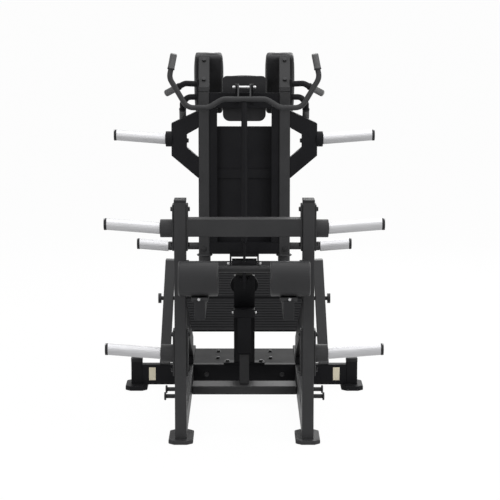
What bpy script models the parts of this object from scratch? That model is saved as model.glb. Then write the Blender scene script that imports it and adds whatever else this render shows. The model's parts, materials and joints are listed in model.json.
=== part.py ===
"""Counterbalanced standing leg press: a lever with a back carriage, a tilting footplate and a steel base.

Metres, +Z up, +X to the right of somebody who looks at the rear of the machine along +Y.
Every piece is drawn with its depth measured from the rear faces of the two rear uprights, and is
then placed so that the middle of the machine's length lies on Y = 0.
"""
import math

import bmesh
import bpy
from mathutils import Matrix, Vector

# ---------------------------------------------------------------- driving dimensions
GAP = 0.0003                    # clearance between two pieces that touch
RUNNING_GAP = 0.0006            # radial clearance of a pin in its bore
WELD = 0.003                    # depth that a welded shape reaches into the one it is joined to

# feet
FOOT_TOP = 0.018                # thickness of a floor plate
FOOT_PLATE_WIDTH = 0.106
REAR_FOOT_BACK = -0.034
REAR_FOOT_LENGTH = 0.218
FRONT_FOOT_LENGTH = 0.170
FRONT_FOOT_TOP = 0.0225

# rear uprights and what joins them
UPRIGHT_X = 0.274               # centre line of an upright
UPRIGHT_WIDTH = 0.050
UPRIGHT_DEPTH = 0.100
UPRIGHT_TOP = 1.055
SIDE_PLATE_THICK = 0.008
SIDE_PLATE_HEIGHT = 0.198
SIDE_PLATE_DEPTH = 0.080
UPPER_PLATE_Z = 0.935
LOWER_PLATE_Z = 0.391
CROSSBEAM_HEIGHT = 0.076
CROSSBEAM_DEPTH = 0.080

# floor frame
GROUND_TUBE_HEIGHT = 0.100
BASE_BEAM_BACK = 1.100          # rear face of the front base beam
BASE_BEAM_DEPTH = 0.050
GROUND_END = 1.600              # far end of the ground tubes
END_POST_X = 0.525
END_POST_WIDTH = 0.054
END_POST_TOP = 0.150
SIDE_TUBE_TOP = 0.637           # height of an inclined tube's upper edge at the uprights' rear faces
SIDE_TUBE_SLOPE = 18.6          # degrees below level
SIDE_TUBE_HEIGHT = 0.100
CROSS_MEMBER_BACK = 0.800
CROSS_MEMBER_DEPTH = 0.130
CROSS_MEMBER_LOW = 0.035
CROSS_MEMBER_HEIGHT = 0.040
STEP_THICK = 0.006
STEP_LENGTH = 0.355
PEG_RADIUS = 0.010
PEG_FLANGE_RADIUS = 0.019
PEG_LENGTH = 0.066
PEG_DEPTHS = (0.62, 0.77)

# centre column, its stop and its brace
COLUMN_WIDTH = 0.100
COLUMN_DEPTH = 0.052
COLUMN_TOP = 0.595
COLUMN_TOP_BACK = 0.850         # depth of the column's rear edge at its top
COLUMN_FOOT_BACK = 1.099
COLUMN_PLATE_WIDTH = 0.200
COLUMN_PLATE_THICK = 0.010
BUFFER_THICK = 0.0165
DISC_RADIUS = 0.066
DISC_THICK = 0.012
DISC_Z = 0.540
BRACE_INNER = 0.045
BRACE_SLEEVE = 0.065
SLEEVE_LOW = 0.220
SLEEVE_TOP = 0.392
BRACE_FOOT_D = 0.865
BRACE_LEAN = 0.110              # depth gained for each metre of height
BRACKET_TOP = 0.430
CATCH_RADIUS = 0.006
CATCH_D = 0.845
CATCH_Z = 0.578

# plate horns
HORN_RADIUS = 0.025
HORN_RISE = 4.5                 # degrees above level
HORN_CAP_LENGTH = 0.013
COLLAR_RADIUS = 0.039
COLLAR_LENGTH = 0.052
STORAGE_HORN_LENGTH = 0.228
HORN_DROP = 0.006               # a storage horn's root below its plate's centre
BRACKET_X = 0.3385              # outer face of a C-shaped bracket
UPPER_HORN_Z = 1.245
LOWER_HORN_Z = 0.742
LOWER_HORN_X = 0.355
CARRIAGE_COLLAR_RADIUS = 0.036
CARRIAGE_COLLAR_LENGTH = 0.027
CARRIAGE_HORN_LENGTH = 0.228
LOWER_HORN_LENGTH = 0.135
LOWER_COLLAR_RADIUS = 0.021
LOWER_COLLAR_LENGTH = 0.018

# lever
AXLE_D = 0.050
AXLE_Z = 0.752
AXLE_RADIUS = 0.015
HOUSING_RADIUS = 0.040
HOUSING_THICK = 0.012
ARM_X = 0.186
ARM_WIDTH = 0.045
ARM_LOW = 0.572
ARM_HEIGHT = 0.080
ARM_BACK = -0.172
ARM_FAR = 0.918
EAR_RADIUS = 0.036
EAR_LENGTH = 0.110
CROSSBAR_HEIGHT = 0.025
WEIGHT_RADIUS = 0.074
WEIGHT_D = -0.130
WEIGHT_INNER = 0.109
WEIGHT_OUTER = 0.277
WEIGHT_PLATE_THICK = 0.013
WEIGHT_PLATE_LENGTH = 0.090
WEIGHT_PLATE_WIDTH = 0.072

# carriage
POST_X = 0.188
POST_WIDTH = 0.050
POST_D = 0.830
POST_LOW = 0.704
POST_TOP = 1.465
SPIGOT_RADIUS = 0.028
FLANGE_RADIUS = 0.037
FLANGE_THICK = 0.008
UPPER_MEMBER_LOW = 1.390
UPPER_MEMBER_HEIGHT = 0.070
MEMBER_DEPTH = 0.0374
LOWER_MEMBER_LOW = 0.706
LOWER_MEMBER_HEIGHT = 0.054
RAIL_DEPTH = 0.032
BOARD_WIDTH = 0.255
BOARD_THICK = 0.012
BOARD_TOP = 1.302
BRACE_STRIP_LOW = 1.060
BRACE_STRIP_HEIGHT = 0.042
PAD_WIDTH = 0.322
PAD_THICK = 0.066
PAD_LOW = 0.712
HEADREST_WIDTH = 0.200
HEADREST_LOW = 1.326
HEADREST_TOP = 1.536
HEADREST_THICK = 0.060
HEADREST_PLATE_THICK = 0.014
HEADREST_LOWER_CORNER = 0.032   # corner radii
HEADREST_UPPER_CORNER = 0.018
SHOULDER_ARM_RISE = 48.0        # degrees above level
SHOULDER_ARM_REACH = 0.100      # depth gained from the post to the pad
SHOULDER_PAD_X = 0.167
SHOULDER_PAD_WIDTH = 0.138
SHOULDER_PAD_LENGTH = 0.300
SHOULDER_PAD_THICK = 0.074
SHOULDER_PAD_LEAN = 18.0        # degrees, top edge towards the rear
SHOULDER_ARM_NOSE = 0.045       # height of an arm's end above the line of its upper edge
SHOULDER_ARM_FACE = 0.080       # height of the arm's end that holds the pad
PAD_OVER_ARM = 0.006            # height of the pad's upper rear edge above its arm
BRACKET_DEPTH = 0.050

# handles on the carriage
HANDLE_RADIUS = 0.014
HANDLE_BEND = 0.030

# safety bar, push rod and latch
BAR_D = 0.700
BAR_Z = 1.438
BAR_RADIUS = 0.0125
BAR_PIVOT_D = 0.755
BAR_PIVOT_Z = 1.490
CLAMP_THICK = 0.007
CLAMP_X = 0.0243                # inner face of a clamp plate
CLAMP_HALF_HEIGHT = 0.015
LUG_THICK = 0.010
PIN_RADIUS = 0.006
ROD_RADIUS = 0.014
ROD_TIP_RADIUS = 0.006
ROD_CLEARANCE = 0.0005          # above the rod to the bar, and below it to the pawl
ROD_SHOULDER = 0.780
LATCH_D = 0.800
LATCH_Z = 0.663
LATCH_RADIUS = 0.024
LATCH_HALF_WIDTH = 0.058
LATCH_PLATE = 0.014
LATCH_BRACKET_THICK = 0.008
LATCH_BRACKET_DEPTH = 0.050

# footplate
MAST_X = 0.388
MAST_WIDTH = 0.050
MAST_DEPTH = 0.060
MAST_TOP = 0.578
MAST_REACH = 0.375              # depth gained from foot to top
MAST_LEAN = 2.0                 # degrees inwards
FOOTPLATE_PIVOT_Z = 0.403
FOOTPLATE_ANGLE = 35.0
FOOTPLATE_WIDTH = 0.640
FOOTPLATE_BELOW = 0.222         # length below the pivot, along the plate
FOOTPLATE_ABOVE = 0.270
FOOTPLATE_THICK = 0.012
RIB_PITCH = 0.018
RIB_HEIGHT = 0.003
FOOTPLATE_SMOOTH = 0.050        # band with no ribs at the upper edge
CHEEK_THICK = 0.012
CHEEK_RADIUS = 0.032
FOOT_PIN_RADIUS = 0.010
FOOT_CAP_RADIUS = 0.025
FOOT_CAP_THICK = 0.012

# ---------------------------------------------------------------- derived places
FLOOR_TUBE_LOW = FOOT_TOP + GAP
FLOOR_TUBE_TOP = FLOOR_TUBE_LOW + GROUND_TUBE_HEIGHT
UPRIGHT_IN = UPRIGHT_X - UPRIGHT_WIDTH / 2
UPRIGHT_OUT = UPRIGHT_X + UPRIGHT_WIDTH / 2
PLATE_IN = UPRIGHT_IN - GAP - SIDE_PLATE_THICK
PLATE_OUT = UPRIGHT_OUT + GAP + SIDE_PLATE_THICK
BASE_BEAM_FAR = BASE_BEAM_BACK + BASE_BEAM_DEPTH
BASE_BEAM_D = BASE_BEAM_BACK + BASE_BEAM_DEPTH / 2
COLUMN_LOW = FLOOR_TUBE_TOP + GAP + COLUMN_PLATE_THICK + GAP
COLUMN_LEAN = (COLUMN_FOOT_BACK - COLUMN_TOP_BACK) / (COLUMN_TOP - COLUMN_LOW)
CROSSBAR_LOW = COLUMN_TOP + GAP + BUFFER_THICK + GAP
ARM_TOP = ARM_LOW + ARM_HEIGHT
ARM_IN = ARM_X - ARM_WIDTH / 2
WEIGHT_PLATE_TOP = ARM_TOP + GAP + WEIGHT_PLATE_THICK
WEIGHT_Z = WEIGHT_PLATE_TOP + GAP + WEIGHT_RADIUS
POST_IN = POST_X - POST_WIDTH / 2
POST_OUT = POST_X + POST_WIDTH / 2
POST_BACK = POST_D - POST_WIDTH / 2
POST_FAR = POST_D + POST_WIDTH / 2
BOARD_FAR = POST_FAR + BOARD_THICK / 2
PAD_BACK = BOARD_FAR + GAP
PIVOT_SHARE = (FOOTPLATE_PIVOT_Z - FLOOR_TUBE_TOP) / (MAST_TOP - FLOOR_TUBE_TOP)
FOOTPLATE_PIVOT_D = BASE_BEAM_D + MAST_REACH * PIVOT_SHARE
SHOULDER_PAD_BACK = POST_D + SHOULDER_ARM_REACH + GAP
MACHINE_BACK = WEIGHT_D - WEIGHT_RADIUS
MIDDLE = (MACHINE_BACK + GROUND_END) / 2
SIDES = (("left", -1), ("right", 1))

# pivots, as (depth, height), of everything that turns or slides
PIVOTS = {
    "lever": (AXLE_D, AXLE_Z),
    "safety_bar": (BAR_PIVOT_D, BAR_PIVOT_Z),
    "push_rod": (BAR_D, BAR_Z),
    "latch": (LATCH_D, LATCH_Z),
    "footplate": (FOOTPLATE_PIVOT_D, FOOTPLATE_PIVOT_Z),
}

for old in list(bpy.data.objects):
    bpy.data.objects.remove(old, do_unlink=True)

machine = bpy.data.collections.new("leg_press_machine")
cutters = bpy.data.collections.new("leg_press_cutters")
bpy.context.scene.collection.children.link(machine)
bpy.context.scene.collection.children.link(cutters)


# ---------------------------------------------------------------- materials
def finish(name, colour, roughness, metallic=0.0):
    """A Principled material with one colour."""
    material = bpy.data.materials.new(name)
    material.use_nodes = True
    shader = material.node_tree.nodes["Principled BSDF"]
    shader.inputs["Base Color"].default_value = (*colour, 1.0)
    shader.inputs["Roughness"].default_value = roughness
    shader.inputs["Metallic"].default_value = metallic
    material.diffuse_color = (*colour, 1.0)
    return material


PAINT = finish("satin_black_paint", (0.045, 0.045, 0.047), 0.45, 0.3)
GLOSS = finish("gloss_black_weight", (0.050, 0.050, 0.052), 0.30, 0.2)
CHROME = finish("chromed_sleeve", (0.72, 0.72, 0.73), 0.16, 1.0)
ZINC = finish("bright_zinc", (0.68, 0.68, 0.69), 0.28, 1.0)
BLACK_STEEL = finish("blackened_bolt", (0.018, 0.018, 0.018), 0.38, 0.6)
PLASTIC = finish("black_plastic", (0.015, 0.015, 0.016), 0.55)
RUBBER = finish("black_rubber", (0.020, 0.020, 0.020), 0.80)
VINYL = finish("black_vinyl", (0.022, 0.022, 0.023), 0.50)


# ---------------------------------------------------------------- pivots and shapes
def add_pivots():
    """One empty on each joint's axis, for the moving pieces to hang from."""
    empties = {}
    for name, (depth, height) in PIVOTS.items():
        empty = bpy.data.objects.new(name + "_pivot", None)
        empty.location = (0.0, depth - MIDDLE, height)
        machine.objects.link(empty)
        empties[name] = empty
    return empties


pivot_empties = add_pivots()


class Part:
    """Gathers the shapes of one named sub-part in depth coordinates, each shape in a mesh of its own."""

    def __init__(self, name, material, body="frame"):
        self.name = name
        self.material = material
        self.body = body
        self.shapes = []

    def box(self, low, high):
        """A block between two corners."""
        low, high = Vector(low), Vector(high)
        shape = bmesh.new()
        size = Matrix.Diagonal((*(high - low), 1.0))
        place = Matrix.Translation((low + high) / 2)
        bmesh.ops.create_cube(shape, size=1.0, matrix=place @ size)
        self.shapes.append(shape)
        return self

    def rod(self, start, end, radius, sides=24):
        """A round bar between two points."""
        start, end = Vector(start), Vector(end)
        axis = end - start
        shape = bmesh.new()
        turn = axis.to_track_quat("Z", "Y").to_matrix().to_4x4()
        place = Matrix.Translation((start + end) / 2)
        bmesh.ops.create_cone(shape, cap_ends=True, segments=sides, radius1=radius,
                              radius2=radius, depth=axis.length, matrix=place @ turn)
        self.shapes.append(shape)
        return self

    def gather(self, curve, matrix):
        """Adds a curve's solid, with its caps welded on."""
        guide = bpy.data.objects.new("guide", curve)
        machine.objects.link(guide)
        bpy.context.view_layer.update()
        view = bpy.context.evaluated_depsgraph_get()
        mesh = bpy.data.meshes.new_from_object(guide.evaluated_get(view))
        mesh.transform(matrix)
        shape = bmesh.new()
        shape.from_mesh(mesh)
        bmesh.ops.remove_doubles(shape, verts=shape.verts, dist=0.00001)
        bmesh.ops.recalc_face_normals(shape, faces=shape.faces)
        bpy.data.objects.remove(guide, do_unlink=True)
        self.shapes.append(shape)
        return self

    def outline(self, points, low, high, plane="depth"):
        """A flat outline given a thickness: across X for "depth", along the depth for "width"."""
        curve = bpy.data.curves.new("outline", "CURVE")
        curve.dimensions = "2D"
        curve.fill_mode = "BOTH"
        curve.extrude = (high - low) / 2
        spline = curve.splines.new("POLY")
        spline.points.add(len(points) - 1)
        spline.use_cyclic_u = True
        for target, (across, up) in zip(spline.points, points):
            target.co = (across, up, 0.0, 1.0)
        middle = (low + high) / 2
        turns = {
            "depth": Matrix(((0, 0, 1, middle), (1, 0, 0, 0), (0, 1, 0, 0), (0, 0, 0, 1))),
            "width": Matrix(((1, 0, 0, 0), (0, 0, -1, middle), (0, 1, 0, 0), (0, 0, 0, 1))),
            "floor": Matrix(((1, 0, 0, 0), (0, 1, 0, 0), (0, 0, 1, middle), (0, 0, 0, 1))),
        }
        return self.gather(curve, turns[plane])

    def pipe(self, route, radius, resolution=3):
        """A round tube along a route of points."""
        curve = bpy.data.curves.new("pipe", "CURVE")
        curve.dimensions = "3D"
        curve.bevel_depth = radius
        curve.bevel_resolution = resolution
        curve.use_fill_caps = True
        spline = curve.splines.new("POLY")
        spline.points.add(len(route) - 1)
        for target, point in zip(spline.points, route):
            target.co = (*point, 1.0)
        return self.gather(curve, Matrix.Identity(4))

    def transform(self, matrix):
        """Moves everything gathered so far."""
        for shape in self.shapes:
            bmesh.ops.transform(shape, matrix=matrix, verts=shape.verts)
            if matrix.determinant() < 0:
                bmesh.ops.reverse_faces(shape, faces=shape.faces)
        return self

    def side(self, sign):
        """Turns a piece drawn for the right into the one for the given side."""
        if sign < 0:
            self.transform(Matrix.Diagonal((-1.0, 1.0, 1.0, 1.0)))
        return self

    def both(self):
        """Adds the mirror image of everything gathered so far."""
        for shape in list(self.shapes):
            image = shape.copy()
            bmesh.ops.transform(image, matrix=Matrix.Diagonal((-1.0, 1.0, 1.0, 1.0)), verts=image.verts)
            bmesh.ops.reverse_faces(image, faces=image.faces)
            self.shapes.append(image)
        return self

    def make_object(self, shape, bevel, segments, name):
        """One shape as an object, hung on the part's pivot, with its edges rounded."""
        mesh = bpy.data.meshes.new(name)
        shape.to_mesh(mesh)
        shape.free()
        mesh.shade_smooth()
        mesh.set_sharp_from_angle(angle=math.radians(35))
        mesh.materials.append(self.material)
        item = bpy.data.objects.new(name, mesh)
        if self.body == "frame":
            item.location = (0.0, -MIDDLE, 0.0)
        else:
            depth, height = PIVOTS[self.body]
            item.parent = pivot_empties[self.body]
            item.location = (0.0, -depth, -height)
        if bevel:
            rounding = item.modifiers.new("Edge rounding", "BEVEL")
            rounding.width = bevel
            rounding.segments = segments
            rounding.limit_method = "ANGLE"
            rounding.angle_limit = math.radians(50)
        return item

    def build(self, bevel=0.0, segments=1, cutting=()):
        """Makes the part: its first shape, with the others welded on and the bores cut."""
        item = self.make_object(self.shapes[0], bevel, segments, self.name)
        machine.objects.link(item)
        welded = [self.make_object(shape, bevel, segments, self.name + "_weld") for shape in self.shapes[1:]]
        for helper in welded:
            hide_as_cutter(helper)
        steps = [(piece, "UNION") for piece in welded] + [(bore, "DIFFERENCE") for bore in cutting]
        for helper, operation in steps:
            step = item.modifiers.new(operation.title(), "BOOLEAN")
            step.operation = operation
            step.solver = "EXACT"
            step.object = helper
        return item


def hide_as_cutter(item):
    """Puts a helper with the cutters, where it isn't a piece of the machine."""
    cutters.objects.link(item)
    item.hide_render = True
    item.display_type = "WIRE"


def cross_drill(name, depth, height, half_length, radius):
    """A cutter for a hole that runs across the machine."""
    drill = Part(name, BLACK_STEEL)
    drill.rod((-half_length, depth, height), (half_length, depth, height), radius)
    cutter = drill.make_object(drill.shapes[0], 0.0, 1, name)
    hide_as_cutter(cutter)
    return cutter


def rounded_route(corners, bend, steps=5):
    """The corner points of a tube's route with each inner corner swept through an arc."""
    route = [Vector(corners[0])]
    for before, corner, after in zip(corners, corners[1:], corners[2:]):
        before, corner, after = Vector(before), Vector(corner), Vector(after)
        back = (before - corner).normalized()
        ahead = (after - corner).normalized()
        half = back.angle(ahead) / 2
        reach = min(bend / math.tan(half), (before - corner).length / 2.01, (after - corner).length / 2.01)
        start, end = corner + back * reach, corner + ahead * reach
        for step in range(steps + 1):
            share = step / steps
            route.append(start.lerp(corner, share).lerp(corner.lerp(end, share), share))
    route.append(Vector(corners[-1]))
    return route


def arc(centre, radius, start, end, steps):
    """Points on an arc, angles in degrees, from start to end."""
    turn = (end - start) / steps
    angles = [math.radians(start + turn * step) for step in range(steps + 1)]
    return [(centre[0] + radius * math.cos(angle), centre[1] + radius * math.sin(angle)) for angle in angles]


def foot_outline(centre, back, length):
    """A floor plate's outline with its four corners cut."""
    half = FOOT_PLATE_WIDTH / 2
    far = back + length
    cut = half * 0.4
    return [(centre - half + cut, back), (centre + half - cut, back), (centre + half, back + cut),
            (centre + half, far - cut), (centre + half - cut, far), (centre - half + cut, far),
            (centre - half, far - cut), (centre - half, back + cut)]


# ---------------------------------------------------------------- base frame
def uprights():
    for name, sign in SIDES:
        post = Part("upright_" + name, PAINT)
        post.box((UPRIGHT_IN, 0.0, WELD), (UPRIGHT_OUT, UPRIGHT_DEPTH, UPRIGHT_TOP))
        post.outline(foot_outline(UPRIGHT_X, REAR_FOOT_BACK, REAR_FOOT_LENGTH), 0.0, FOOT_TOP, "floor")
        post.side(sign).build(0.003)


def storage_plates():
    back = (UPRIGHT_DEPTH - SIDE_PLATE_DEPTH) / 2
    for level, height in (("upper", UPPER_PLATE_Z), ("lower", LOWER_PLATE_Z)):
        low, top = height - SIDE_PLATE_HEIGHT / 2, height + SIDE_PLATE_HEIGHT / 2
        axis = height - HORN_DROP
        for name, sign in SIDES:
            plate = Part("storage_plate_" + level + "_" + name, PAINT)
            plate.box((UPRIGHT_OUT + GAP, back, low), (PLATE_OUT, back + SIDE_PLATE_DEPTH, top))
            plate.rod((PLATE_OUT - WELD, UPRIGHT_DEPTH / 2, axis),
                      (PLATE_OUT + COLLAR_LENGTH, UPRIGHT_DEPTH / 2, axis), COLLAR_RADIUS)
            plate.side(sign).build(0.002)
            horn("storage_horn_" + level + "_" + name, "frame", sign,
                 (PLATE_OUT + COLLAR_LENGTH, UPRIGHT_DEPTH / 2, axis), STORAGE_HORN_LENGTH)


def horn(name, body, sign, start, length):
    """A plate horn that rises outwards from the vertical face it is bolted to."""
    sleeve = Part(name, CHROME, body)
    x, depth, height = start
    sleeve.rod((x + GAP, depth, height), (x + length + HORN_CAP_LENGTH, depth, height), HORN_RADIUS)
    slope = math.tan(math.radians(HORN_RISE))
    for vert in sleeve.shapes[0].verts:
        vert.co.z += (vert.co.x - x) * slope
    sleeve.side(sign).build(0.002)


def cross_tubes():
    beam = Part("rear_crossbeam", PAINT)
    back = (UPRIGHT_DEPTH - CROSSBEAM_DEPTH) / 2
    reach = PLATE_IN + WELD
    low = UPPER_PLATE_Z - CROSSBEAM_HEIGHT / 2
    beam.box((-reach, back, low), (reach, back + CROSSBEAM_DEPTH, low + CROSSBEAM_HEIGHT))
    half = SIDE_PLATE_HEIGHT / 2
    edge = (UPRIGHT_DEPTH - SIDE_PLATE_DEPTH) / 2 - 0.002
    for near, far in ((PLATE_IN, UPRIGHT_IN - GAP), (-UPRIGHT_IN + GAP, -PLATE_IN)):
        beam.box((near, edge, UPPER_PLATE_Z - half), (far, UPRIGHT_DEPTH - edge, UPPER_PLATE_Z + half))
    beam.build(0.002)
    low_member = Part("low_cross_member", PAINT)
    reach = UPRIGHT_IN - GAP
    low_member.box((-reach, CROSS_MEMBER_BACK, CROSS_MEMBER_LOW),
                   (reach, CROSS_MEMBER_BACK + CROSS_MEMBER_DEPTH, CROSS_MEMBER_LOW + CROSS_MEMBER_HEIGHT))
    low_member.build(0.004)


def base_frame():
    """Front base beam with its end posts, floor plates and the two tubes under the step."""
    base = Part("base_frame", PAINT)
    reach = END_POST_X - END_POST_WIDTH / 2 + WELD
    base.box((-reach, BASE_BEAM_BACK, FLOOR_TUBE_LOW), (reach, BASE_BEAM_FAR, FLOOR_TUBE_TOP))
    half = END_POST_WIDTH / 2
    for sign in (-1, 1):
        centre = sign * END_POST_X
        base.box((centre - half, BASE_BEAM_BACK - 0.0013, 2 * WELD),
                 (centre + half, BASE_BEAM_FAR + 0.0013, END_POST_TOP))
        back = BASE_BEAM_D - FRONT_FOOT_LENGTH / 2
        base.outline(foot_outline(centre, back, FRONT_FOOT_LENGTH), 0.0, FRONT_FOOT_TOP, "floor")
        inner = sign * UPRIGHT_X - UPRIGHT_WIDTH / 2
        base.box((inner, BASE_BEAM_FAR - 2 * WELD, FLOOR_TUBE_LOW + 0.0012),
                 (inner + UPRIGHT_WIDTH, GROUND_END, FLOOR_TUBE_TOP - 0.0015))
        base.outline(foot_outline(sign * UPRIGHT_X, GROUND_END - FRONT_FOOT_LENGTH - 0.01, FRONT_FOOT_LENGTH),
                     0.0, FRONT_FOOT_TOP, "floor")
    base.build(0.003)


def floor_tubes():
    height = (FLOOR_TUBE_LOW + FLOOR_TUBE_TOP) / 2
    for name, sign in SIDES:
        tube = Part("ground_tube_" + name, PAINT)
        tube.box((UPRIGHT_IN, UPRIGHT_DEPTH + GAP, FLOOR_TUBE_LOW),
                 (UPRIGHT_OUT, BASE_BEAM_BACK - GAP, FLOOR_TUBE_TOP))
        start, end = UPRIGHT_OUT - WELD, UPRIGHT_OUT + PEG_LENGTH
        for depth in PEG_DEPTHS:
            tube.rod((start, depth, height), (end, depth, height), PEG_RADIUS, 16)
            tube.rod((end - WELD, depth, height), (end + 0.006, depth, height), PEG_FLANGE_RADIUS, 20)
        tube.side(sign).build(0.002)


def side_tubes():
    fall = math.tan(math.radians(SIDE_TUBE_SLOPE))
    drop = SIDE_TUBE_HEIGHT / math.cos(math.radians(SIDE_TUBE_SLOPE))
    back = UPRIGHT_DEPTH + GAP
    knee = BASE_BEAM_BACK + GAP
    low = FLOOR_TUBE_TOP + GAP
    points = [(back, SIDE_TUBE_TOP - fall * back - drop), (knee, SIDE_TUBE_TOP - fall * knee - drop),
              (knee, low), (BASE_BEAM_FAR, low),
              (BASE_BEAM_FAR, SIDE_TUBE_TOP - fall * BASE_BEAM_FAR), (back, SIDE_TUBE_TOP - fall * back)]
    for name, sign in SIDES:
        tube = Part("side_tube_" + name, PAINT)
        tube.outline(points, UPRIGHT_IN, UPRIGHT_OUT).side(sign).build(0.004)


def step_plate():
    step = Part("step_plate", PAINT)
    reach = UPRIGHT_IN - GAP
    back = BASE_BEAM_FAR + GAP
    top = FLOOR_TUBE_TOP
    step.box((-reach, back, top - STEP_THICK), (reach, back + STEP_LENGTH, top)).build(0.001)


def column_edge(height):
    """Depth of the column's rear edge at a height."""
    return COLUMN_TOP_BACK + COLUMN_LEAN * (COLUMN_TOP - height)


def centre_column():
    column = Part("centre_column", PAINT)
    low = COLUMN_LOW - WELD
    low_back, top_back = column_edge(low), column_edge(COLUMN_TOP)
    column.outline([(low_back, low), (low_back + COLUMN_DEPTH, low),
                    (top_back + COLUMN_DEPTH, COLUMN_TOP), (top_back, COLUMN_TOP)],
                   -COLUMN_WIDTH / 2, COLUMN_WIDTH / 2)
    reach = COLUMN_PLATE_WIDTH / 2
    low = FLOOR_TUBE_TOP + GAP
    column.box((-reach, BASE_BEAM_BACK - 0.004, low), (reach, BASE_BEAM_FAR + 0.004, COLUMN_LOW))
    lean = math.atan(COLUMN_LEAN)
    axis = Vector((0.0, math.cos(lean), math.sin(lean)))
    start = Vector((0.0, column_edge(DISC_Z) + COLUMN_DEPTH, DISC_Z)) - axis * WELD
    column.rod(start, start + axis * (DISC_THICK + WELD), DISC_RADIUS, 32)
    reach = LATCH_PLATE
    column.rod((-reach - 0.004, CATCH_D, CATCH_Z), (reach + 0.004, CATCH_D, CATCH_Z), CATCH_RADIUS, 16)
    high, low = CATCH_Z + 0.010, CATCH_Z - 0.012
    for inner in (-reach - 0.0085, reach + 0.0025):
        column.outline([(CATCH_D - 0.008, low), (column_edge(low) + WELD, low),
                        (column_edge(high) + WELD, high), (CATCH_D - 0.008, high)], inner, inner + 0.006)
    column.build(0.002)
    buffer = Part("stop_buffer", RUBBER)
    low = COLUMN_TOP + GAP
    buffer.box((-COLUMN_WIDTH / 2 + 0.01, COLUMN_TOP_BACK + 0.006, low),
               (COLUMN_WIDTH / 2 - 0.01, COLUMN_TOP_BACK + COLUMN_DEPTH - 0.006, low + BUFFER_THICK))
    buffer.build(0.003)


def brace():
    low = CROSS_MEMBER_LOW + CROSS_MEMBER_HEIGHT + GAP

    def leaning(part, width, bottom, top):
        near = BRACE_FOOT_D - width / 2 + BRACE_LEAN * (bottom - low)
        high = BRACE_FOOT_D - width / 2 + BRACE_LEAN * (top - low)
        points = [(near, bottom), (near + width, bottom), (high + width, top), (high, top)]
        part.outline(points, -width / 2, width / 2)
        return high

    inner = Part("brace_inner_tube", PAINT)
    leaning(inner, BRACE_INNER, low, SLEEVE_LOW - GAP)
    inner.build(0.003)
    sleeve = Part("brace_sleeve", PAINT)
    near = leaning(sleeve, BRACE_SLEEVE, SLEEVE_LOW, SLEEVE_TOP + WELD)
    reach = COLUMN_WIDTH / 2
    bottom = SLEEVE_TOP
    sleeve.outline([(near, bottom), (column_edge(bottom) - GAP, bottom),
                    (column_edge(BRACKET_TOP) - GAP, BRACKET_TOP), (near, BRACKET_TOP)], -reach, reach)
    sleeve.build(0.003)


# ---------------------------------------------------------------- lever
def axle(bore):
    shaft = Part("pivot_axle", BLACK_STEEL)
    reach = UPRIGHT_IN - GAP
    shaft.rod((-reach, AXLE_D, AXLE_Z), (reach, AXLE_D, AXLE_Z), AXLE_RADIUS).build()
    for name, sign in SIDES:
        housing = Part("bearing_housing_" + name, PAINT)
        housing.rod((reach - HOUSING_THICK, AXLE_D, AXLE_Z), (reach, AXLE_D, AXLE_Z), HOUSING_RADIUS, 32)
        housing.side(sign).build(0.002, cutting=[bore])


def lever(bore):
    for name, sign in SIDES:
        arm = Part("lever_arm_" + name, PAINT, "lever")
        arm.box((ARM_IN, ARM_BACK, ARM_LOW), (ARM_IN + ARM_WIDTH, ARM_FAR, ARM_TOP))
        low = ARM_TOP - WELD
        half = EAR_LENGTH / 2
        ear = [(AXLE_D - half, low), (AXLE_D + half, low)] + arc((AXLE_D, AXLE_Z), EAR_RADIUS, 0, 180, 12)
        arm.outline(ear, ARM_IN + 0.001, ARM_IN + ARM_WIDTH - 0.001)
        half = WEIGHT_PLATE_WIDTH / 2
        arm.box((ARM_X - half, ARM_BACK + 0.002, low),
                (ARM_X + half, ARM_BACK + WEIGHT_PLATE_LENGTH, WEIGHT_PLATE_TOP))
        arm.side(sign).build(0.002, cutting=[bore])
        weight = Part("counterweight_" + name, GLOSS, "lever")
        weight.rod((WEIGHT_INNER, WEIGHT_D, WEIGHT_Z), (WEIGHT_OUTER, WEIGHT_D, WEIGHT_Z), WEIGHT_RADIUS, 40)
        weight.side(sign).build(0.007, 2)
    bar = Part("lever_crossbar", PAINT, "lever")
    reach = ARM_IN - GAP
    bar.box((-reach, COLUMN_TOP_BACK, CROSSBAR_LOW),
            (reach, COLUMN_TOP_BACK + COLUMN_DEPTH, CROSSBAR_LOW + CROSSBAR_HEIGHT))
    bar.build(0.003)


def carriage_posts():
    """Posts with the flange and spigot at their feet and the stub that holds the lower horn."""
    flange_low = POST_LOW - FLANGE_THICK
    for name, sign in SIDES:
        post = Part("carriage_post_" + name, PAINT, "lever")
        post.box((POST_IN, POST_BACK, POST_LOW - WELD), (POST_OUT, POST_FAR, POST_TOP))
        post.rod((ARM_X, POST_D, ARM_TOP + GAP), (ARM_X, POST_D, flange_low + WELD), SPIGOT_RADIUS, 28)
        post.rod((ARM_X, POST_D, flange_low), (ARM_X, POST_D, POST_LOW), FLANGE_RADIUS, 28)
        stub = LOWER_HORN_X - LOWER_COLLAR_LENGTH
        post.rod((POST_OUT - WELD, POST_D, LOWER_HORN_Z), (stub + WELD, POST_D, LOWER_HORN_Z), 0.017, 20)
        post.rod((stub, POST_D, LOWER_HORN_Z), (LOWER_HORN_X, POST_D, LOWER_HORN_Z), LOWER_COLLAR_RADIUS)
        post.side(sign).build(0.003)
        horn("carriage_horn_lower_" + name, "lever", sign,
             (LOWER_HORN_X, POST_D, LOWER_HORN_Z), LOWER_HORN_LENGTH)


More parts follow.
